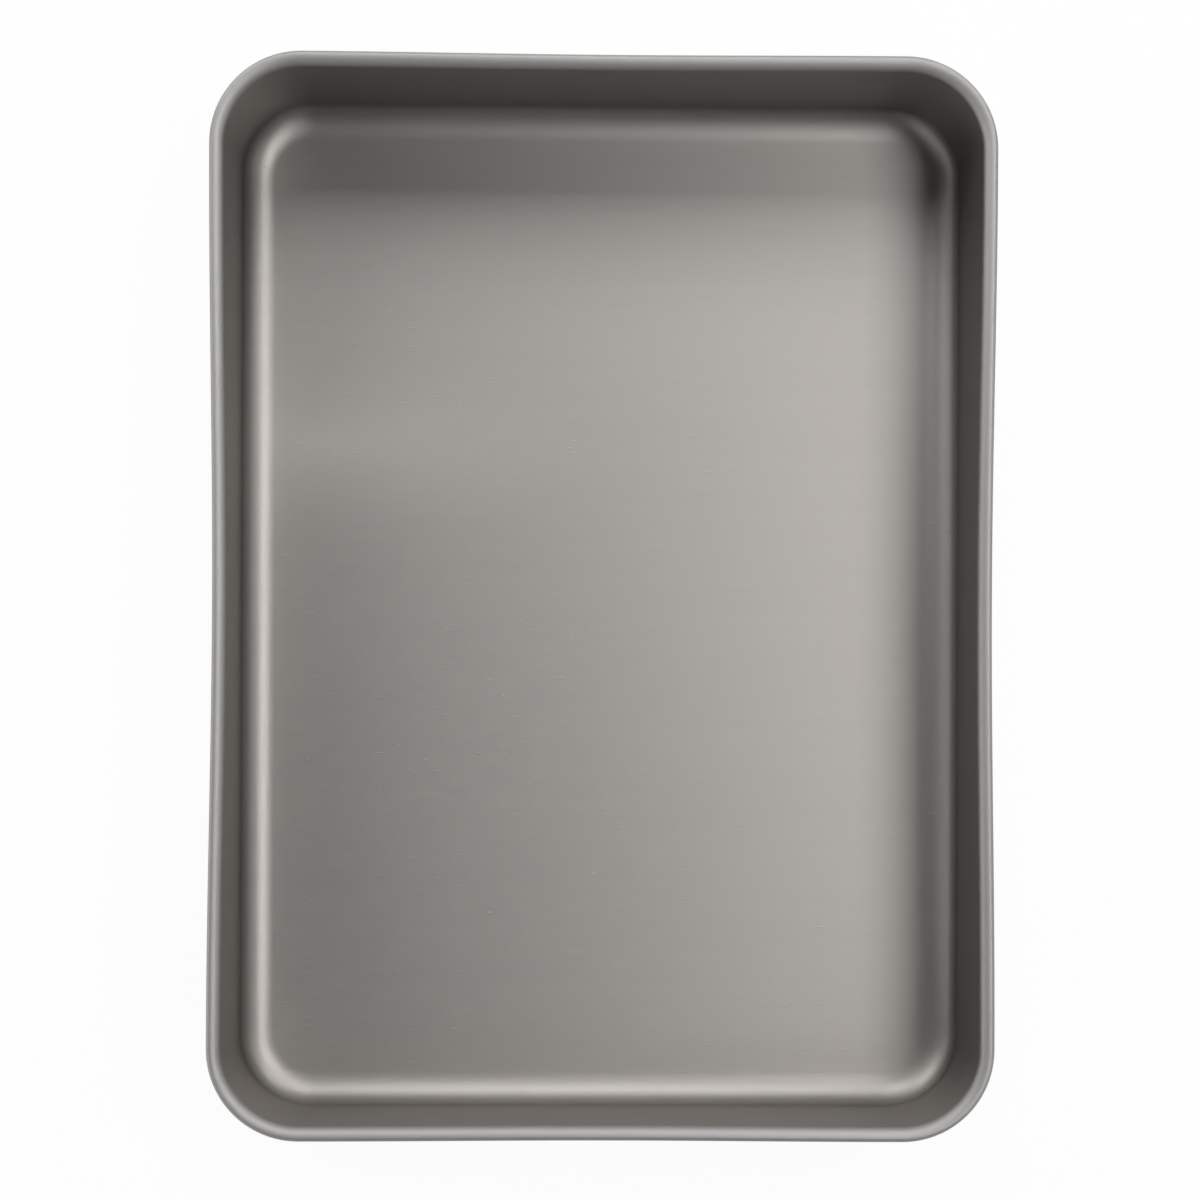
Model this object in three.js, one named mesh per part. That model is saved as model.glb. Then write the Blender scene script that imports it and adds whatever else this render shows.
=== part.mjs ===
// A deep rectangular roasting pan: one aluminium sheet, drawn to a tray and rolled over a wire at its rim.
// Millimetres, +Z up. The origin is on the table, under the middle of the pan; the long side runs along Y.
import * as THREE from "three";

// Driving dimensions of the pan
const RIM_LENGTH = 360; // over the rolled rim at the corners, along Y
const RIM_WIDTH = 261; // over the rolled rim at the corners, along X
const HEIGHT = 70; // from the table to the top of the rim
const SHEET = 0.8; // thickness of the sheet
const CORNER_RADIUS = 30.5; // in plan, over the rolled rim
const COVE_WIDTH = 11; // inside, from the wall to where the floor is flat
const COVE_RISE = 8; // inside, from the floor to where the wall is straight
const WALL_DRAFT = THREE.MathUtils.degToRad(0.6); // outward lean of the walls
const LONG_SIDE_BOW = 1.5; // how far the rim springs inwards at the middle of a long side
const SHORT_SIDE_BOW = 0.45; // the same at the middle of a short side

// Driving dimensions of the rolled rim and the wire in it
const LIP_RADIUS = 3.5; // inside, where the wall turns outwards to the top of the rim
const RIM_DEPTH = 4.5; // the top part of the pan that bows as a whole
const ROLL_TURN = THREE.MathUtils.degToRad(240); // from the top of the rim to the sheet's rolled edge
const WIRE_DIAMETER = 1.0;
const WIRE_CLEARANCE = 0.1; // all round, between the wire and the roll
const WIRE_BUTT_GAP = 2.0; // between the wire's two cut ends

// Facets
const LONG_SIDE_STEPS = 8;
const SHORT_SIDE_STEPS = 6;
const CORNER_STEPS = 8;
const COVE_STEPS = 8;
const LIP_STEPS = 6;
const ROLL_STEPS = 16;
const WIRE_SIDES = 10;

// The rim's section: a wide arc, the lip, tangent to the wall, then a tight one, the roll, round the wire.
const rollInner = WIRE_DIAMETER / 2 + WIRE_CLEARANCE;
const rollOuter = rollInner + SHEET;
const wireHeight = HEIGHT - rollOuter;
const lipHeight = HEIGHT - LIP_RADIUS;
const rimBottom = HEIGHT - RIM_DEPTH;
const wallFacing = Math.PI - WALL_DRAFT; // direction that the wall's inner face looks, in the section
const upwards = Math.PI / 2;
const rolledEdge = upwards - ROLL_TURN;

// The cove is a quarter of an ellipse, tangent to the floor where it starts and to the wall where it ends.
const coveStart = -Math.PI / 2;
const coveEnd = -Math.atan((COVE_RISE / COVE_WIDTH) * Math.tan(WALL_DRAFT));
const coveHeight = SHEET + COVE_RISE;
const coveTop = coveHeight + COVE_RISE * Math.sin(coveEnd);
const coveReach = COVE_WIDTH * Math.cos(coveEnd) - wallFace(LIP_RADIUS, coveTop).x;
const coveCentre = new THREE.Vector2(-coveReach, coveHeight);

// Plan of the wire's centre line: quarter circles about four corner centres, joined by the sides.
const wireCornerRadius = CORNER_RADIUS - rollOuter;
const cornerX = RIM_WIDTH / 2 - CORNER_RADIUS;
const cornerY = RIM_LENGTH / 2 - CORNER_RADIUS;
const corners = [
  new THREE.Vector2(cornerX, -cornerY),
  new THREE.Vector2(cornerX, cornerY),
  new THREE.Vector2(-cornerX, cornerY),
  new THREE.Vector2(-cornerX, -cornerY),
];
const sides = corners.map((from, i) => {
  const long = i % 2 === 0;
  return {
    from,
    to: corners[(i + 1) % corners.length],
    facing: (i * Math.PI) / 2,
    bow: long ? LONG_SIDE_BOW : SHORT_SIDE_BOW,
    steps: long ? LONG_SIDE_STEPS : SHORT_SIDE_STEPS,
  };
});

// A station is a place on the plan: the point it grows from, the way it faces, and its inward bow there.
function station(base, facing, bow) {
  return { base, outward: new THREE.Vector2(Math.cos(facing), Math.sin(facing)), bow };
}

function sideStation(side, share) {
  const base = side.from.clone().lerp(side.to, share);
  return station(base, side.facing, (side.bow * (1 - Math.cos(2 * Math.PI * share))) / 2);
}

// The stations between two shares of one side, both left out.
function sideStations(side, low, high) {
  const shares = Array.from({ length: side.steps + 1 }, (_, k) => k / side.steps);
  return shares.filter((share) => share > low && share < high).map((share) => sideStation(side, share));
}

function cornerStations(side) {
  const turns = Array.from({ length: CORNER_STEPS + 1 }, (_, k) => k / CORNER_STEPS);
  return turns.map((turn) => station(side.to, side.facing + (turn * Math.PI) / 2, 0));
}

// Once round the rim, counter-clockwise from above, from the middle of the first side and back to it.
function walkRim(gap) {
  const [first, ...others] = sides;
  const halfGap = gap / 2 / first.from.distanceTo(first.to);
  return [
    sideStation(first, 0.5 + halfGap),
    ...sideStations(first, 0.5 + halfGap, 1),
    ...cornerStations(first),
    ...others.flatMap((side) => [...sideStations(side, 0, 1), ...cornerStations(side)]),
    ...sideStations(first, 0, 0.5 - halfGap),
    sideStation(first, 0.5 - halfGap),
  ];
}

// The bow grows from nothing at the cove to its full depth under the rim, which it moves as a whole.
function bowShare(z) {
  return THREE.MathUtils.clamp((z - coveTop) / (rimBottom - coveTop), 0, 1);
}

// A point of the section carried to a station; section x runs outwards from the wire's centre line.
function place(point, at) {
  const reach = wireCornerRadius + point.x - at.bow * bowShare(point.y);
  const plan = at.base.clone().addScaledVector(at.outward, reach);
  return new THREE.Vector3(plan.x, plan.y, point.y);
}

// The cove from the floor to the wall: its upper face, or the parallel to it at some depth in the sheet.
function cove(depth) {
  const turns = Array.from({ length: COVE_STEPS + 1 }, (_, k) => k / COVE_STEPS);
  return turns.map((share) => {
    const turn = THREE.MathUtils.lerp(coveStart, coveEnd, share);
    const face = new THREE.Vector2(COVE_WIDTH * Math.cos(turn), COVE_RISE * Math.sin(turn));
    const down = new THREE.Vector2(Math.cos(turn) / COVE_WIDTH, Math.sin(turn) / COVE_RISE).normalize();
    return face.addScaledVector(down, depth).add(coveCentre);
  });
}

// The place on a wall face at a height; radius is that of the lip's face which the wall runs into.
function wallFace(radius, z) {
  const lean = (lipHeight - z) * Math.sin(WALL_DRAFT);
  return new THREE.Vector2(-(radius + lean) / Math.cos(WALL_DRAFT), z);
}

// An arc of the rim about a point under its top, from one direction to another, both included.
function rimArc(height, radius, from, to, steps) {
  return new THREE.EllipseCurve(0, height, radius, radius, from, to, to < from).getPoints(steps);
}

// A closed surface through loops of equal count, capped at the first and the last.
function skin(loops) {
  const count = loops[0].length;
  const middle = (loop) => loop.reduce((sum, p) => sum.add(p), new THREE.Vector3()).divideScalar(count);
  const points = [...loops.flat(), middle(loops.at(0)), middle(loops.at(-1))];
  const firstMiddle = points.length - 2;
  const lastMiddle = points.length - 1;
  const lastLoop = (loops.length - 1) * count;
  const faces = [];
  for (let j = 0; j < count; j++) {
    const next = (j + 1) % count;
    faces.push(firstMiddle, j, next);
    for (let row = 0; row < lastLoop; row += count) {
      const [a, b, c, d] = [row + j, row + next, row + count + next, row + count + j];
      faces.push(a, d, c, a, c, b);
    }
    faces.push(lastMiddle, lastLoop + next, lastLoop + j);
  }
  const geometry = new THREE.BufferGeometry().setFromPoints(points);
  geometry.setIndex(faces);
  geometry.computeVertexNormals();
  return geometry;
}

// The sheet's section, from the floor's upper face up the wall, round the rim and back to the underside.
function sheetSection() {
  const lipUnder = LIP_RADIUS - SHEET;
  return [
    ...cove(0),
    wallFace(LIP_RADIUS, rimBottom),
    ...rimArc(lipHeight, LIP_RADIUS, wallFacing, upwards, LIP_STEPS),
    ...rimArc(wireHeight, rollOuter, upwards, rolledEdge, ROLL_STEPS).slice(1),
    ...rimArc(wireHeight, rollInner, rolledEdge, upwards, ROLL_STEPS),
    ...rimArc(lipHeight, lipUnder, upwards, wallFacing, LIP_STEPS).slice(1),
    wallFace(lipUnder, rimBottom),
    ...cove(SHEET).reverse(),
  ];
}

function panShell() {
  const rim = walkRim(0).slice(0, -1);
  const loops = sheetSection().map((point) => rim.map((at) => place(point, at)));
  const anodised = new THREE.MeshStandardMaterial({ color: 0x93908c, roughness: 0.4, metalness: 0.9 });
  return new THREE.Mesh(skin(loops), anodised);
}

function rimWire() {
  const turns = Array.from({ length: WIRE_SIDES }, (_, k) => (2 * Math.PI * k) / WIRE_SIDES);
  const radius = WIRE_DIAMETER / 2;
  const section = turns.map(
    (turn) => new THREE.Vector2(radius * Math.cos(turn), wireHeight + radius * Math.sin(turn)),
  );
  const loops = walkRim(WIRE_BUTT_GAP).map((at) => section.map((point) => place(point, at)));
  const drawnWire = new THREE.MeshStandardMaterial({ color: 0xb4b5b6, roughness: 0.35, metalness: 1 });
  return new THREE.Mesh(skin(loops), drawnWire);
}

const roastingPan = new THREE.Group();
for (const [name, make] of Object.entries({ pan_shell: panShell, rim_wire: rimWire })) {
  const piece = make();
  piece.name = name;
  roastingPan.add(piece);
}

export default roastingPan;
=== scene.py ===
"""Looks of a deep roasting pan: brushed, hard-anodised aluminium sheet, rolled over a wire at its rim.

The pan is seen from straight above, on white paper, under soft studio lights.
Lengths are in metres. +X runs across the pan, +Y along it, and +Z up out of its mouth.
"""
from __future__ import annotations

import logging
import math
from collections.abc import Iterator
from contextlib import contextmanager
from dataclasses import dataclass
from enum import Enum

import bmesh
import bpy
from mathutils import Euler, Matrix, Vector

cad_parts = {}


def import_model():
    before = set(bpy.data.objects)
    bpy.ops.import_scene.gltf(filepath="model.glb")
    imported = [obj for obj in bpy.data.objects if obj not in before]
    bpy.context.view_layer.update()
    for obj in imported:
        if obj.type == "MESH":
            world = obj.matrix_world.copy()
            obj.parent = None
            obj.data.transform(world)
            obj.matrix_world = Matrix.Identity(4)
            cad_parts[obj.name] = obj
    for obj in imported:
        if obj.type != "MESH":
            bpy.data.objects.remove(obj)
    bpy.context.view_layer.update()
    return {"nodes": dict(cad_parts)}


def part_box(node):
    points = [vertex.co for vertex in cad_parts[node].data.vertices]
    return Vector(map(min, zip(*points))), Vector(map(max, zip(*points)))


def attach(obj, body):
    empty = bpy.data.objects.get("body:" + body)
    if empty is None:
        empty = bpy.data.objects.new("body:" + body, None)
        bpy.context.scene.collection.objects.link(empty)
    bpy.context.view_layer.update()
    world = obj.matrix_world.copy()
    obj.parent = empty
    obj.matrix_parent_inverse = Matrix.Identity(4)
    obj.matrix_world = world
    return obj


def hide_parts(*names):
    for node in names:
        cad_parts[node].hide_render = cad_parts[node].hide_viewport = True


MM = 0.001
PHOTO_SIDE = 1200  # pixels along each side of the picture
RUN = "run"  # attribute: how far along the sheet a point lies from the floor's edge
FLOOR_SHARE = "floor_share"  # attribute: 1 on the floor's upper face, fading to 0 up the cove; it keeps the painted highlight on the floor
SHEET_MAP = "sheet"  # UV map: the sheet laid out flat, along the pan and across it
WELD = 0.01 * MM  # points nearer than this are one
SMOOTH_ANGLE = math.radians(50)  # sharper edges stay sharp
NOISE_DETAIL = 2.0  # how many finer layers a noise has

log = logging.getLogger("roasting_pan")


def linear(hex_colour: str) -> tuple[float, float, float, float]:
    """Turn an sRGB hex colour into linear light, by the standard's own curve.

    Args:
        hex_colour: Six hex digits, such as "a8a4a0".

    Returns:
        Red, green, blue and an alpha of 1.
    """
    channels = [int(hex_colour[i : i + 2], 16) / 255 for i in (0, 2, 4)]
    red, green, blue = (c / 12.92 if c <= 0.04045 else ((c + 0.055) / 1.055) ** 2.4 for c in channels)
    return (red, green, blue, 1.0)


def add_node(tree: bpy.types.NodeTree, kind: str, settings: dict | None = None, **inputs) -> bpy.types.Node:
    """Add a node, set it up and link what feeds it.

    Args:
        tree: The material's or world's node tree.
        kind: Blender's type name of the node.
        settings: Properties of the node itself.
        **inputs: A value or an output socket for each input. The input is given by its name, with spaces as
            underscores, or, where inputs share a name, by an underscore and its number.

    Returns:
        The new node.
    """
    node = tree.nodes.new(kind)
    for name, value in (settings or {}).items():
        setattr(node, name, value)
    for name, value in inputs.items():
        key = int(name[1:]) if name[0] == "_" else name.replace("_", " ")
        socket = node.inputs[key]
        if isinstance(value, bpy.types.NodeSocket):
            tree.links.new(value, socket)
        else:
            socket.default_value = value
    return node


def new_material(name: str) -> tuple[bpy.types.Material, bpy.types.NodeTree]:
    """Make an empty node material, named for what it is.

    Args:
        name: The material's name.

    Returns:
        The material and its node tree.
    """
    material = bpy.data.materials.new(name)
    material.use_nodes = True
    material.node_tree.nodes.clear()
    return material, material.node_tree


def deselect_all() -> None:
    """Leave nothing selected, so that an operator acts only on what comes next."""
    for obj in bpy.context.selected_objects:
        obj.select_set(False)


@contextmanager
def editing(obj: bpy.types.Object) -> Iterator[None]:
    """Hold one object in edit mode, with everything in it selected.

    Args:
        obj: The object to edit.
    """
    deselect_all()
    obj.select_set(True)
    bpy.context.view_layer.objects.active = obj
    bpy.ops.object.mode_set(mode="EDIT")
    bpy.ops.mesh.select_mode(type="VERT")
    bpy.ops.mesh.select_all(action="SELECT")
    yield
    bpy.ops.object.mode_set(mode="OBJECT")


def spin(steps: int, angle: float, centre: Vector, axis: Vector) -> None:
    """Spin the selected vertices about an axis, by the right-hand rule.

    Args:
        steps: Number of steps.
        angle: How far to turn, in radians.
        centre: A point on the axis.
        axis: The axis. The operator turns clockwise about what it is given, so it gets the opposite.
    """
    bpy.ops.mesh.spin(steps=steps, angle=angle, center=centre, axis=-axis)


def apply_modifier(obj: bpy.types.Object, kind: str, **settings) -> None:
    """Add a modifier to an object, set it up and apply it.

    Args:
        obj: The object to change.
        kind: Blender's type name of the modifier.
        **settings: Properties of the modifier.
    """
    modifier = obj.modifiers.new(kind.lower(), kind)
    for name, value in settings.items():
        setattr(modifier, name, value)
    bpy.context.view_layer.objects.active = obj
    bpy.ops.object.modifier_apply(modifier=modifier.name)


class Side(Enum):
    """The pan's four sides, by the quarter turn from +X that each one faces."""

    RIGHT = 0
    BACK = 1
    LEFT = 2
    FRONT = 3

    @property
    def outward(self) -> Vector:
        """The way that the side faces."""
        angle = self.value * math.pi / 2
        return Vector((round(math.cos(angle)), round(math.sin(angle)), 0))

    @property
    def forward(self) -> Vector:
        """The way along the side, counter-clockwise from above."""
        return Vector((-self.outward.y, self.outward.x, 0))

    @property
    def is_long(self) -> bool:
        """Whether it is one of the two long sides."""
        return self in (Side.RIGHT, Side.LEFT)


@dataclass(frozen=True)
class PanSizes:
    """Sizes of the pan: the overall ones come from the frame, the rest are the sheet's and its rim's."""

    width: float
    length: float
    height: float
    sheet: float = 0.8 * MM
    corner_radius: float = 30.5 * MM
    cove_width: float = 11 * MM
    cove_rise: float = 8 * MM
    wall_draft: float = math.radians(0.6)
    long_side_bow: float = 1.5 * MM
    short_side_bow: float = 0.45 * MM
    lip_radius: float = 3.5 * MM
    rim_depth: float = 4.5 * MM
    roll_turn: float = math.radians(240)
    wire_diameter: float = 1.0 * MM
    wire_clearance: float = 0.1 * MM
    wire_butt_gap: float = 2.0 * MM

    @property
    def roll_inner(self) -> float:
        """Inner radius of the rolled rim."""
        return self.wire_diameter / 2 + self.wire_clearance

    @property
    def roll_outer(self) -> float:
        """Outer radius of the rolled rim."""
        return self.roll_inner + self.sheet

    @property
    def wire_height(self) -> float:
        """Height of the wire's centre line."""
        return self.height - self.roll_outer

    @property
    def rim_bottom(self) -> float:
        """Height above which the rim bows as a whole."""
        return self.height - self.rim_depth

    @property
    def lip_height(self) -> float:
        """Height of the centre that the lip turns about, from the wall to the top of the rim."""
        return self.height - self.lip_radius

    @property
    def lip_turn(self) -> float:
        """How far the lip turns."""
        return math.pi / 2 - self.wall_draft

    @property
    def wire_corner_radius(self) -> float:
        """Radius of the wire's centre line at a corner, in plan."""
        return self.corner_radius - self.roll_outer

    @property
    def corner(self) -> Vector:
        """Centre of the corner between the right and back sides, in plan."""
        return Vector((self.width / 2 - self.corner_radius, self.length / 2 - self.corner_radius, 0))

    @property
    def cove_height(self) -> float:
        """Height of the centre that the cove turns about."""
        return self.sheet + self.cove_rise

    @property
    def cove_stretch(self) -> float:
        """How much wider the cove is than high: it is a quarter of an ellipse, flatter towards the floor."""
        return self.cove_width / self.cove_rise

    @property
    def cove_turn(self) -> float:
        """How far the cove turns, before it is stretched, to run on into the wall."""
        return math.pi / 2 - math.atan(math.tan(self.wall_draft) / self.cove_stretch)

    @property
    def wall_head(self) -> Vector:
        """Where the wall's inner face meets the lip, from the lip's centre: outwards and up."""
        return Vector((-math.cos(self.wall_draft), math.sin(self.wall_draft))) * self.lip_radius

    @property
    def wall_rise(self) -> float:
        """Height of the straight wall between the cove and the lip."""
        foot = self.cove_height - self.cove_rise * math.cos(self.cove_turn)
        return self.lip_height + self.wall_head.y - foot

    @property
    def cove_reach(self) -> float:
        """How far the cove's centre lies inwards of the wire's centre line."""
        lean = self.wall_rise * math.tan(self.wall_draft)
        return self.cove_width * math.sin(self.cove_turn) + lean - self.wall_head.x

    @property
    def floor_radius(self) -> float:
        """Radius of the flat floor's corners, in plan."""
        return self.wire_corner_radius - self.cove_reach

    def bow(self, side: Side) -> float:
        """How far the rim springs inwards at the middle of a side."""
        return self.long_side_bow if side.is_long else self.short_side_bow

    def run(self, side: Side) -> float:
        """Length of a side's straight stretch."""
        return 2 * (self.corner.y if side.is_long else self.corner.x)


@dataclass(frozen=True)
class RimRoute:
    """The way round the pan, from the middle of the right side: four straight runs and four corners."""

    sizes: PanSizes
    run_steps: int = 24
    corner_steps: int = 24

    def sweep(self, gap: float = 0.0) -> None:
        """Carry the selected section round the pan: extrude it along each side, spin it at each corner.

        Args:
            gap: How far the section starts past the middle of the right side, and ends short of it, in all.
        """
        half = self.sizes.run(Side.RIGHT) / 2 - gap / 2
        self._extrude(Side.RIGHT, half, self.run_steps // 2)
        self._turn(Side.RIGHT)
        for side in (Side.BACK, Side.LEFT, Side.FRONT):
            self._extrude(side, self.sizes.run(side), self.run_steps)
            self._turn(side)
        self._extrude(Side.RIGHT, half, self.run_steps // 2)

    def _extrude(self, side: Side, run: float, steps: int) -> None:
        """Extrude the selected section along a side."""
        for _ in range(steps):
            bpy.ops.mesh.extrude_region_move(TRANSFORM_OT_translate={"value": side.forward * (run / steps)})

    def _turn(self, side: Side) -> None:
        """Spin the selected section round the corner at the end of a side.

        Args:
            side: The side that ends at the corner.
        """
        corner = self.sizes.corner
        reach = corner.x * abs(side.outward.x) + corner.y * abs(side.outward.y)
        along = self.sizes.run(side) / 2
        centre = side.outward * reach + side.forward * along
        spin(self.corner_steps, math.pi / 2, centre, Vector((0, 0, 1)))

    def spring_in(self, obj: bpy.types.Object, low: float, high: float) -> None:
        """Bow each side inwards, from nothing at the height low to its full depth at the height high.

        Args:
            obj: The swept piece, still at its straight outline.
            low: Height below which nothing moves.
            high: Height above which everything moves by the full bow.
        """
        for side in Side:
            group = obj.vertex_groups.new(name=side.name.lower())
            half = self.sizes.run(side) / 2
            edge = self.sizes.corner.dot(Vector((abs(side.outward.x), abs(side.outward.y), 0)))
            for vertex in obj.data.vertices:
                along = vertex.co.dot(side.forward) / half
                if abs(along) >= 1 or vertex.co.dot(side.outward) < edge:
                    continue
                rise = min(max((vertex.co.z - low) / (high - low), 0), 1)
                group.add([vertex.index], rise * (1 + math.cos(math.pi * along)) / 2, "REPLACE")
            axis = "X" if side.is_long else "Y"
            inwards = -self.sizes.bow(side) * sum(side.outward)
            apply_modifier(
                obj,
                "DISPLACE",
                direction=axis,
                vertex_group=group.name,
                mid_level=0,
                strength=inwards,
            )


@dataclass(frozen=True)
class BrushedAnodisedAluminium:
    """Hard-anodised aluminium sheet, brushed across the pan: a satin, warm grey metal.

    The brushing is a fine straight grain, which spreads a reflection more along the pan than across it.
    Faint streaks and a few short flecks run the same way. The anodised skin dims a grazing reflection.
    The rolled rim is more matt and smooth, and paler: its paler colour is a painted reflection of the white
    paper. A pale patch on the floor is a painted highlight.
    """

    light_grain: str = "aaa6a2"
    dark_grain: str = "a19d9a"
    grazing_tint: str = "a6a6a6"
    roughness: float = 0.48
    roughness_spread: float = 0.03
    anisotropy: float = 0.3
    # paler than the sheet: a painted reflection of the white paper round the roll
    rim_colour_with_painted_reflection: str = "abaaa8"
    rim_roughness: float = 0.6
    rim_fade: float = 2 * MM
    # painted highlight: a pale pool of light laid over part of the floor
    painted_highlight_colour: str = "b9b5b1"
    painted_highlight_place: tuple[float, float] = (57 * MM, -96 * MM)  # along the pan and across it
    painted_highlight_reach: tuple[float, float] = (46 * MM, 120 * MM)  # from its middle to where it has faded out
    line_spacing: float = 0.9 * MM  # coarser than real brushing, so that it shows in a picture
    line_length: float = 14 * MM
    line_relief: float = 0.002 * MM
    streak_spacing: float = 6 * MM
    streak_length: float = 150 * MM
    streak_share: float = 0.35  # of the sheet's tone; the rest is the grain
    fleck_width: float = 0.8 * MM
    fleck_length: float = 4 * MM
    fleck_relief: float = 0.1 * MM
    fleck_level: float = 0.65  # height in the noise at which a fleck starts; higher means fewer flecks

    def make(self, rim_height: float) -> bpy.types.Material:
        """Build the material; its grain runs along the second axis of the sheet's map.

        Args:
            rim_height: Height at which the wall starts to turn over into the rim.

        Returns:
            The material.
        """
        material, tree = new_material("brushed_anodised_aluminium")
        grain = self._drawn_out(tree, self.line_spacing, self.line_length)
        brushed = self._brushed_share(tree, rim_height)
        # on the rim, the paler colour is a painted reflection
        skin = add_node(
            tree,
            "ShaderNodeMix",
            {"data_type": "RGBA"},
            _0=brushed,
            _6=linear(self.rim_colour_with_painted_reflection),
            _7=self._sheet_colour(tree, grain),
        )
        satin = add_node(
            tree,
            "ShaderNodeMapRange",
            Value=grain,
            To_Min=self.roughness - self.roughness_spread,
            To_Max=self.roughness + self.roughness_spread,
        )
        gloss = add_node(
            tree,
            "ShaderNodeMix",
            _0=brushed,
            _2=self.rim_roughness,
            _3=satin.outputs["Result"],
        )
        along = add_node(tree, "ShaderNodeTangent", {"direction_type": "UV_MAP", "uv_map": SHEET_MAP})
        metal = add_node(
            tree,
            "ShaderNodeBsdfPrincipled",
            Base_Color=skin.outputs[2],
            Metallic=1.0,
            Specular_Tint=linear(self.grazing_tint),
            Roughness=gloss.outputs[0],
            Anisotropic=self.anisotropy,
            Tangent=along.outputs["Tangent"],
            Normal=self._relief(tree, grain, brushed),
        )
        add_node(tree, "ShaderNodeOutputMaterial", Surface=metal.outputs["BSDF"])
        return material

    def _brushed_share(self, tree: bpy.types.NodeTree, rim_height: float) -> bpy.types.NodeSocket:
        """Make the share of the brushed finish, which fades out where the wall turns over into the rim.

        Args:
            tree: The material's node tree.
            rim_height: Height at which the fading starts.

        Returns:
            The share: 1 below the rim and 0 on it.
        """
        place = add_node(tree, "ShaderNodeTexCoord")
        height = add_node(tree, "ShaderNodeSeparateXYZ", Vector=place.outputs["Object"])
        share = add_node(
            tree,
            "ShaderNodeMapRange",
            Value=height.outputs["Z"],
            From_Min=rim_height + self.rim_fade,
            From_Max=rim_height,
        )
        return share.outputs["Result"]

    def _sheet_colour(self, tree: bpy.types.NodeTree, grain: bpy.types.NodeSocket) -> bpy.types.NodeSocket:
        """Shade the sheet by its grain and streaks, and lay the painted highlight, a pale patch, over them.

        Args:
            tree: The material's node tree.
            grain: The noise of the grain.

        Returns:
            The colour.
        """
        streaks = self._drawn_out(tree, self.streak_spacing, self.streak_length)
        tone = add_node(tree, "ShaderNodeMix", _0=self.streak_share, _2=grain, _3=streaks)
        shade = add_node(
            tree,
            "ShaderNodeMix",
            {"data_type": "RGBA"},
            _0=tone.outputs[0],
            _6=linear(self.dark_grain),
            _7=linear(self.light_grain),
        )
        # the painted highlight, laid over the grain
        highlighted = add_node(
            tree,
            "ShaderNodeMix",
            {"data_type": "RGBA"},
            _0=self._painted_highlight_share(tree),
            _6=shade.outputs[2],
            _7=linear(self.painted_highlight_colour),
        )
        return highlighted.outputs[2]

    def _painted_highlight_share(self, tree: bpy.types.NodeTree) -> bpy.types.NodeSocket:
        """Make the share of the painted highlight, a pale patch which keeps to the floor's upper face.

        Args:
            tree: The material's node tree.

        Returns:
            The share: 1 in the patch's middle, fading to 0 round it.
        """
        sheet = add_node(tree, "ShaderNodeUVMap", {"uv_map": SHEET_MAP})
        from_middle = add_node(
            tree,
            "ShaderNodeMapping",
            {"vector_type": "TEXTURE"},
            Vector=sheet.outputs["UV"],
            Location=(*self.painted_highlight_place, 0),
            Scale=(*self.painted_highlight_reach, 1),
        )
        patch = add_node(
            tree,
            "ShaderNodeTexGradient",
            {"gradient_type": "QUADRATIC_SPHERE"},
            Vector=from_middle.outputs["Vector"],
        )
        floor = add_node(tree, "ShaderNodeAttribute", {"attribute_name": FLOOR_SHARE})
        on_floor = add_node(
            tree,
            "ShaderNodeMath",
            {"operation": "MULTIPLY"},
            _0=patch.outputs["Fac"],
            _1=floor.outputs["Fac"],
        )
        return on_floor.outputs["Value"]

    def _relief(
        self, tree: bpy.types.NodeTree, grain: bpy.types.NodeSocket, brushed: bpy.types.NodeSocket
    ) -> bpy.types.NodeSocket:
        """Raise the grain and the flecks where the sheet is brushed.

        Args:
            tree: The material's node tree.
            grain: The noise of the grain.
            brushed: The share of the brushed finish.

        Returns:
            The bumped normal.
        """
        marks = self._drawn_out(tree, self.fleck_width, self.fleck_length)
        flecks = add_node(tree, "ShaderNodeMapRange", Value=marks, From_Min=self.fleck_level, From_Max=1.0)
        lines = add_node(tree, "ShaderNodeBump", Height=grain, Distance=self.line_relief, Strength=brushed)
        relief = add_node(
            tree,
            "ShaderNodeBump",
            Height=flecks.outputs["Result"],
            Distance=self.fleck_relief,
            Strength=brushed,
            Normal=lines.outputs["Normal"],
        )
        return relief.outputs["Normal"]

    def _drawn_out(self, tree: bpy.types.NodeTree, spacing: float, length: float) -> bpy.types.NodeSocket:
        """Make noise that is drawn out across the pan.

        Args:
            tree: The material's node tree.
            spacing: Usual distance from one mark to the next, along the pan.
            length: Usual length of a mark, across the pan.

        Returns:
            The noise, from 0 to 1.
        """
        sheet = add_node(tree, "ShaderNodeUVMap", {"uv_map": SHEET_MAP})
        marks = add_node(
            tree, "ShaderNodeMapping", Vector=sheet.outputs["UV"], Scale=(1 / spacing, 1 / length, 1)
        )
        noise = add_node(
            tree, "ShaderNodeTexNoise", Vector=marks.outputs["Vector"], Scale=1.0, Detail=NOISE_DETAIL
        )
        return noise.outputs["Fac"]


@dataclass(frozen=True)
class DrawnAluminiumWire:
    """Bare drawn aluminium wire: brighter than the sheet, satin, with a slightly uneven gloss."""

    colour: str = "c4c5c6"
    roughness: float = 0.32
    roughness_spread: float = 0.06
    speck_size: float = 3 * MM

    def make(self) -> bpy.types.Material:
        """Build the material.

        Returns:
            The material.
        """
        material, tree = new_material("drawn_aluminium_wire")
        place = add_node(tree, "ShaderNodeTexCoord")
        specks = add_node(
            tree,
            "ShaderNodeTexNoise",
            Vector=place.outputs["Object"],
            Scale=1 / self.speck_size,
            Detail=NOISE_DETAIL,
        )
        gloss = add_node(
            tree,
            "ShaderNodeMapRange",
            Value=specks.outputs["Fac"],
            To_Min=self.roughness - self.roughness_spread,
            To_Max=self.roughness + self.roughness_spread,
        )
        metal = add_node(
            tree,
            "ShaderNodeBsdfPrincipled",
            Base_Color=linear(self.colour),
            Metallic=1.0,
            Roughness=gloss.outputs["Result"],
        )
        add_node(tree, "ShaderNodeOutputMaterial", Surface=metal.outputs["BSDF"])
        return material


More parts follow.
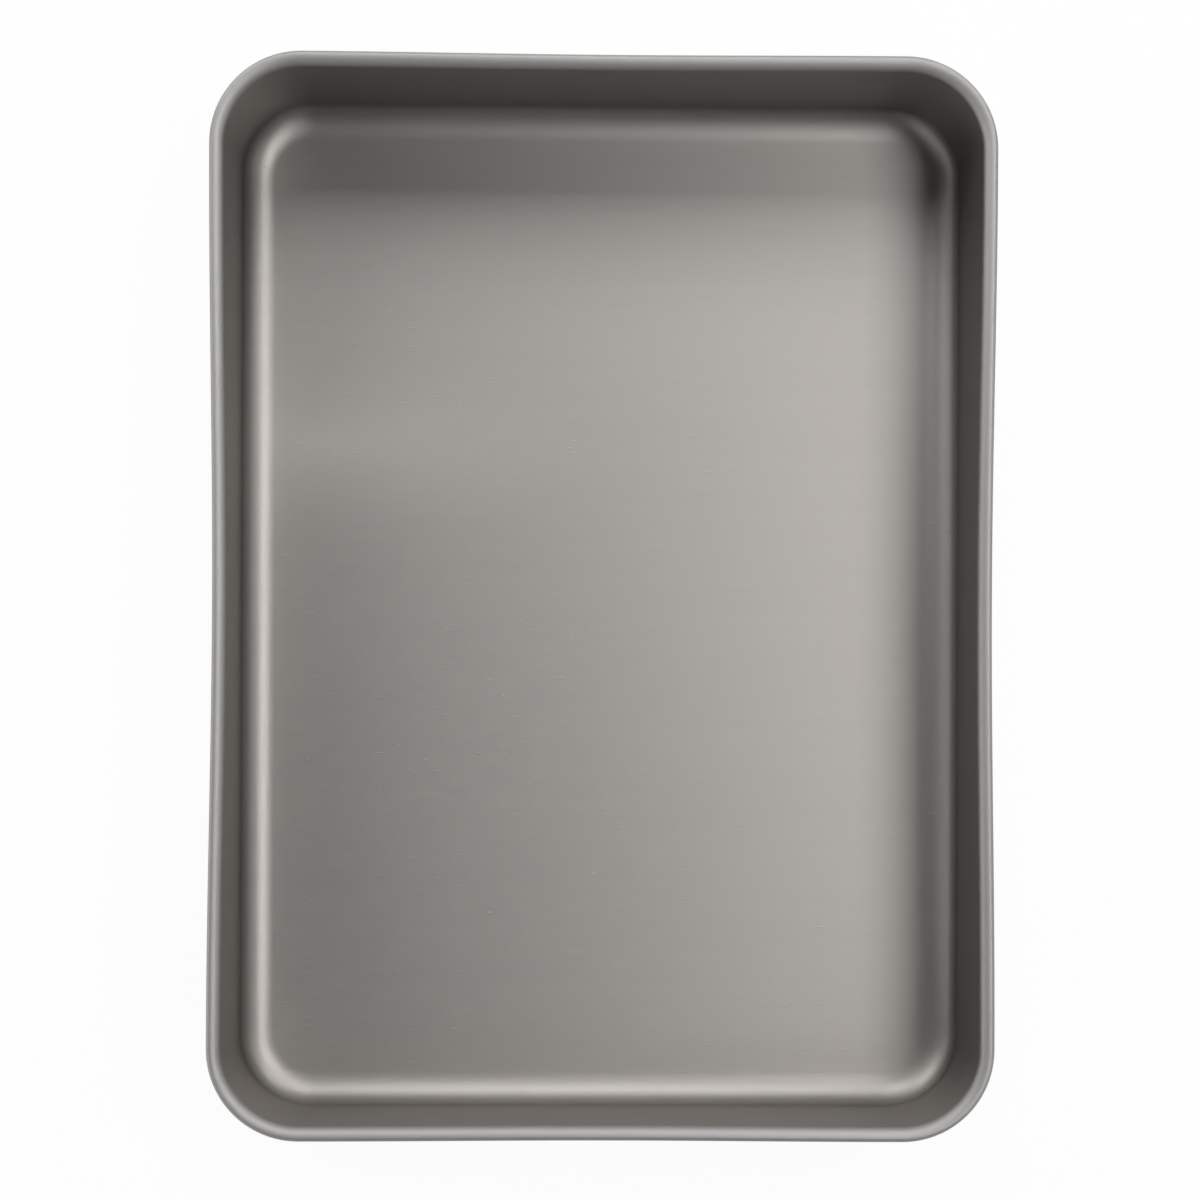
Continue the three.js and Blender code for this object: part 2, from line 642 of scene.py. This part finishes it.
@dataclass
class PanShell:
    """The drawn sheet: floor, cove, walls and rolled rim in one piece."""

    sizes: PanSizes
    route: RimRoute
    finish: BrushedAnodisedAluminium
    cove_steps: int = 20
    wall_steps: int = 12
    lip_steps: int = 14
    roll_steps: int = 32
    floor_border: float = 4 * MM
    painted_highlight_fade: float = 5 * MM  # how far up the cove the painted highlight on the floor reaches

    def build(self) -> bpy.types.Object:
        """Model the sheet's inner face, give it its thickness and dress it.

        Returns:
            The finished piece.
        """
        obj = self._start()
        with editing(obj):
            self._draw_section(obj)
            self._measure_section(obj)
            bpy.ops.mesh.select_all(action="SELECT")
            self.route.sweep()
            bpy.ops.mesh.select_all(action="SELECT")
            bpy.ops.mesh.remove_doubles(threshold=WELD)
            self._close_floor(obj)
            bpy.ops.mesh.select_all(action="SELECT")
            bpy.ops.mesh.normals_make_consistent(inside=False)
        self._face_up(obj)
        self._map_sheet(obj)
        self.route.spring_in(obj, self.sizes.cove_height, self.sizes.rim_bottom)
        apply_modifier(obj, "SOLIDIFY", thickness=self.sizes.sheet, offset=-1, use_even_offset=True)
        self._mark_floor(obj)
        deselect_all()
        obj.select_set(True)
        bpy.ops.object.shade_smooth_by_angle(angle=SMOOTH_ANGLE)
        obj.data.materials.append(self.finish.make(self.sizes.lip_height))
        return obj

    def _reach(self, outwards: float) -> float:
        """Place on X, on the right side, of a point that far outwards of the wire's centre line."""
        return self.sizes.corner.x + self.sizes.wire_corner_radius + outwards

    def _start(self) -> bpy.types.Object:
        """Add the vertex that the section grows from, where the floor meets the cove on the right side.

        Returns:
            The piece, with that one vertex.
        """
        deselect_all()
        foot = Vector((self._reach(-self.sizes.cove_reach), 0, self.sizes.sheet))
        bpy.ops.mesh.primitive_plane_add(size=self.sizes.sheet, location=(0, 0, 0))
        obj = bpy.context.object
        obj.name = obj.data.name = "drawn_sheet"
        with editing(obj):
            bpy.ops.mesh.merge(type="CENTER")
            bpy.ops.transform.translate(value=foot)
        return obj

    def _draw_section(self, obj: bpy.types.Object) -> None:
        """Draw the section of the sheet's inner face: cove, wall, lip and the roll round the wire.

        Args:
            obj: The piece, in edit mode, with its first vertex selected.
        """
        size = self.sizes
        forward = Side.RIGHT.forward
        cove_centre = Vector((self._reach(-size.cove_reach), 0, size.cove_height))
        spin(self.cove_steps, size.cove_turn, cove_centre, -forward)
        bpy.ops.mesh.select_all(action="SELECT")
        bpy.ops.transform.resize(value=(size.cove_stretch, 1, 1), center_override=cove_centre)
        self._select_last(obj)
        rise = Vector((math.tan(size.wall_draft), 0, 1)) * (size.wall_rise / self.wall_steps)
        for _ in range(self.wall_steps):
            bpy.ops.mesh.extrude_region_move(TRANSFORM_OT_translate={"value": rise})
        rim_middle = self._reach(0)
        spin(self.lip_steps, size.lip_turn, Vector((rim_middle, 0, size.lip_height)), forward)
        spin(self.roll_steps, size.roll_turn, Vector((rim_middle, 0, size.wire_height)), forward)

    def _select_last(self, obj: bpy.types.Object) -> None:
        """Select only the vertex that was drawn last.

        Args:
            obj: The piece, in edit mode.
        """
        bpy.ops.mesh.select_all(action="DESELECT")
        mesh = bmesh.from_edit_mesh(obj.data)
        mesh.verts.ensure_lookup_table()
        mesh.verts[-1].select_set(True)

    def _measure_section(self, obj: bpy.types.Object) -> None:
        """Note on each vertex of the section how far along the sheet it lies from the floor's edge.

        Args:
            obj: The piece, in edit mode, with its section drawn.
        """
        mesh = bmesh.from_edit_mesh(obj.data)
        run = mesh.verts.layers.float.new(RUN)
        mesh.verts.ensure_lookup_table()
        for before, after in zip(mesh.verts[:-1], mesh.verts[1:]):
            after[run] = before[run] + (after.co - before.co).length

    def _close_floor(self, obj: bpy.types.Object) -> None:
        """Fill the floor inside the cove, with a narrow border that keeps its middle flat.

        Args:
            obj: The piece, in edit mode, swept round the pan.
        """
        mesh = bmesh.from_edit_mesh(obj.data)
        bpy.ops.mesh.select_all(action="DESELECT")
        bpy.ops.mesh.select_mode(type="EDGE")
        for edge in mesh.edges:
            edge.select_set(edge.is_boundary and all(v.co.z < self.sizes.sheet + WELD for v in edge.verts))
        bpy.ops.mesh.edge_face_add()
        bpy.ops.mesh.inset(thickness=self.floor_border)
        bpy.ops.mesh.select_mode(type="VERT")

    def _mark_floor(self, obj: bpy.types.Object) -> None:
        """Note how much each vertex of the inner face belongs to the floor, which is where the painted
        highlight lies.

        Args:
            obj: The piece with its thickness; the inner face has the first half of the vertices.
        """
        marks = obj.data.attributes.new(FLOOR_SHARE, "FLOAT", "POINT").data
        runs = obj.data.attributes[RUN].data
        for index in range(len(obj.data.vertices) // 2):
            marks[index].value = max(1 - runs[index].value / self.painted_highlight_fade, 0)

    def _face_up(self, obj: bpy.types.Object) -> None:
        """Turn the sheet over if its normals point out of the pan and not into it.

        Args:
            obj: The piece, still without thickness.
        """
        floor = max(obj.data.polygons, key=lambda face: face.area)
        if floor.normal.z < 0:
            with editing(obj):
                bpy.ops.mesh.flip_normals()

    def _map_sheet(self, obj: bpy.types.Object) -> None:
        """Lay the piece out flat, as the sheet was before it was drawn.

        The map's first axis runs along the pan and its second across it, which is the way of the brushing.

        Args:
            obj: The piece, still without thickness and bow.
        """
        size = self.sizes
        corner = size.corner
        layer = obj.data.uv_layers.new(name=SHEET_MAP)
        runs = obj.data.attributes[RUN].data
        flat = []
        for vertex in obj.data.vertices:
            plan = Vector((vertex.co.x, vertex.co.y, 0))
            base = Vector((min(max(plan.x, -corner.x), corner.x), min(max(plan.y, -corner.y), corner.y), 0))
            outward = plan - base
            if outward.length > size.floor_radius:
                plan = base + outward.normalized() * (size.floor_radius + runs[vertex.index].value)
            flat.append((plan.y, plan.x))
        for loop in obj.data.loops:
            layer.data[loop.index].uv = flat[loop.vertex_index]


@dataclass
class RimWire:
    """The stiffening wire inside the roll, butted at the middle of the right side."""

    sizes: PanSizes
    route: RimRoute
    finish: DrawnAluminiumWire
    section_sides: int = 16

    def build(self) -> bpy.types.Object:
        """Model the wire, from one cut end round to the other, and dress it.

        Returns:
            The finished piece.
        """
        size = self.sizes
        start = (size.corner.x + size.wire_corner_radius, size.wire_butt_gap / 2, size.wire_height)
        deselect_all()
        bpy.ops.mesh.primitive_circle_add(
            vertices=self.section_sides,
            radius=size.wire_diameter / 2,
            fill_type="NOTHING",
            location=start,
            rotation=Euler((math.pi / 2, 0, 0)),
        )
        obj = bpy.context.object
        obj.name = obj.data.name = "wire_in_rim"
        bpy.ops.object.transform_apply(location=True, rotation=True, scale=True)
        with editing(obj):
            self.route.sweep(size.wire_butt_gap)
            bpy.ops.mesh.select_all(action="SELECT")
            bpy.ops.mesh.remove_doubles(threshold=WELD)
            bpy.ops.mesh.select_all(action="SELECT")
            bpy.ops.mesh.fill_holes(sides=self.section_sides)
            bpy.ops.mesh.select_all(action="SELECT")
            bpy.ops.mesh.normals_make_consistent(inside=False)
        self.route.spring_in(obj, 0, size.rim_bottom)
        deselect_all()
        obj.select_set(True)
        bpy.ops.object.shade_smooth_by_angle(angle=SMOOTH_ANGLE)
        obj.data.materials.append(self.finish.make())
        return obj


@dataclass(frozen=True)
class SoftLight:
    """A softbox, aimed at the middle of the pan."""

    name: str
    tilt: float  # degrees from straight up
    bearing: float  # degrees from +X, counter-clockwise from above
    width: float
    height: float
    radiance: float
    distance: float = 1.6

    def add(self, aim: Vector) -> None:
        """Hang the light.

        Args:
            aim: The point that it faces.
        """
        tilt, bearing = math.radians(self.tilt), math.radians(self.bearing)
        up = Vector((math.sin(tilt) * math.cos(bearing), math.sin(tilt) * math.sin(bearing), math.cos(tilt)))
        data = bpy.data.lights.new(self.name, "AREA")
        data.shape = "RECTANGLE"
        data.size = self.width
        data.size_y = self.height
        data.energy = self.radiance * math.pi * self.width * self.height
        lamp = bpy.data.objects.new(self.name, data)
        lamp.location = aim + up * self.distance
        lamp.rotation_euler = up.to_track_quat("Z", "Y").to_euler()
        bpy.context.collection.objects.link(lamp)


@dataclass
class Studio:
    """White paper, a dim room that is white along the horizon, and softboxes round and over the pan."""

    sizes: PanSizes
    floor_side: float = 12.0
    floor_cuts: int = 3
    press: float = 0.05 * MM  # how far the pan sinks into the paper, so that their faces don't coincide
    paper: str = "f2f2f2"
    glow: str = "ffffff"
    glow_share: float = 0.95  # of the paper as it is seen or mirrored; the rest takes light and shadow
    horizon: str = "ffffff"
    ceiling: str = "000000"
    horizon_fade: float = math.radians(11)  # height at which the white starts to fade
    horizon_top: float = math.radians(15)  # height at which only the ceiling's colour is left

    def build(self) -> None:
        """Set up the floor, the room and the lights."""
        self._floor()
        self._room()
        middle = Vector((0, 0, self.sizes.sheet))
        for light in (
            SoftLight("overhead_right", tilt=14, bearing=0, width=0.45, height=0.45, radiance=0.9),
            SoftLight("key_right", tilt=22, bearing=6, width=0.45, height=0.45, radiance=10.0),
            SoftLight("front_right", tilt=34, bearing=315, width=0.68, height=0.68, radiance=2.0),
            SoftLight("back", tilt=40, bearing=90, width=0.68, height=0.68, radiance=5.6),
            SoftLight("back_right", tilt=56, bearing=45, width=0.86, height=0.74, radiance=2.85),
            SoftLight("back_left", tilt=56, bearing=135, width=0.86, height=0.74, radiance=3.85),
            SoftLight("front_left", tilt=56, bearing=225, width=0.86, height=0.74, radiance=1.2),
            SoftLight("low_right", tilt=62, bearing=0, width=0.68, height=0.56, radiance=1.0),
            SoftLight("low_left", tilt=76, bearing=180, width=1.16, height=0.56, radiance=1.7),
        ):
            light.add(middle)

    def _floor(self) -> None:
        """Lay the white paper; it keeps a faint shadow of the pan."""
        deselect_all()
        bpy.ops.mesh.primitive_plane_add(size=self.floor_side, location=(0, 0, 0))
        floor = bpy.context.object
        floor.name = floor.data.name = "white_floor"
        with editing(floor):
            bpy.ops.mesh.subdivide(number_cuts=self.floor_cuts)
            bpy.ops.transform.translate(value=(0, 0, self.press))
        material, tree = new_material("white_paper")
        rays = add_node(tree, "ShaderNodeLightPath")
        seen = rays.outputs["Is Camera Ray"]
        for ray in ("Is Glossy Ray", "Is Transmission Ray"):
            either = add_node(
                tree, "ShaderNodeMath", {"operation": "MAXIMUM"}, _0=seen, _1=rays.outputs[ray]
            )
            seen = either.outputs["Value"]
        share = add_node(tree, "ShaderNodeMath", {"operation": "MULTIPLY"}, _0=seen, _1=self.glow_share)
        paper = add_node(tree, "ShaderNodeBsdfDiffuse", Color=linear(self.paper))
        white = add_node(tree, "ShaderNodeEmission", Color=linear(self.glow), Strength=1.0)
        mixed = add_node(
            tree,
            "ShaderNodeMixShader",
            _0=share.outputs["Value"],
            _1=paper.outputs["BSDF"],
            _2=white.outputs["Emission"],
        )
        add_node(tree, "ShaderNodeOutputMaterial", Surface=mixed.outputs["Shader"])
        floor.data.materials.append(material)

    def _room(self) -> None:
        """Surround the pan with a dim room that is white along the horizon, behind the paper."""
        world = bpy.data.worlds.new("studio_room")
        world.use_nodes = True
        tree = world.node_tree
        tree.nodes.clear()
        way = add_node(tree, "ShaderNodeTexCoord")
        split = add_node(tree, "ShaderNodeSeparateXYZ", Vector=way.outputs["Generated"])
        height = add_node(
            tree,
            "ShaderNodeMapRange",
            Value=split.outputs["Z"],
            From_Min=math.sin(self.horizon_fade),
            From_Max=math.sin(self.horizon_top),
        )
        wall = add_node(
            tree,
            "ShaderNodeMix",
            {"data_type": "RGBA"},
            _0=height.outputs["Result"],
            _6=linear(self.horizon),
            _7=linear(self.ceiling),
        )
        room = add_node(tree, "ShaderNodeBackground", Color=wall.outputs[2], Strength=1.0)
        add_node(tree, "ShaderNodeOutputWorld", Surface=room.outputs["Background"])
        bpy.context.scene.world = world


@dataclass(frozen=True)
class OverheadCamera:
    """The camera of the picture: above the pan, a little to its front and left, looking straight down."""

    place: tuple[float, float, float] = (-15.42 * MM, -48.8 * MM, 1157.8 * MM)
    turn: tuple[float, float, float] = (-0.0023, -0.0261, 0.0040)  # radians, away from straight down
    focal_pixels: float = 3292.2
    centre_pixel: tuple[float, float] = (641.9, 752.8)
    sensor_width: float = 36.0  # millimetres

    def add(self) -> None:
        """Set up the camera, with the shift that frames the pan as in the picture."""
        data = bpy.data.cameras.new("overhead_camera")
        data.sensor_fit = "HORIZONTAL"
        data.sensor_width = self.sensor_width
        data.lens = self.sensor_width * self.focal_pixels / PHOTO_SIDE
        data.shift_x = 0.5 - self.centre_pixel[0] / PHOTO_SIDE
        data.shift_y = self.centre_pixel[1] / PHOTO_SIDE - 0.5
        camera = bpy.data.objects.new("overhead_camera", data)
        camera.location = self.place
        camera.rotation_euler = Euler(self.turn, "XYZ")
        bpy.context.collection.objects.link(camera)
        bpy.context.scene.camera = camera


def main() -> None:
    """Build the pan, piece by piece, and the studio round it."""
    logging.basicConfig(level=logging.INFO, format="%(name)s: %(message)s")
    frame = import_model()
    log.info("frame: %s", ", ".join(frame["nodes"]))
    OverheadCamera().add()
    low, high = (Vector(corner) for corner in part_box("pan_shell"))
    sizes = PanSizes(width=high.x - low.x, length=high.y - low.y, height=high.z - low.z)
    route = RimRoute(sizes)
    pieces = {
        "pan_shell": (PanShell(sizes, route, BrushedAnodisedAluminium()), "anodised_sheet"),
        "rim_wire": (RimWire(sizes, route, DrawnAluminiumWire()), "drawn_wire"),
    }
    for node, (maker, slot) in pieces.items():
        piece = maker.build()
        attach(piece, "root")
        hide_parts(node)
        log.info("%s: %d faces", piece.name, len(piece.data.polygons))
    Studio(sizes).build()
    bpy.context.scene.view_settings.view_transform = "Standard"
    bpy.context.view_layer.update()


if __name__ == "__main__":
    main()
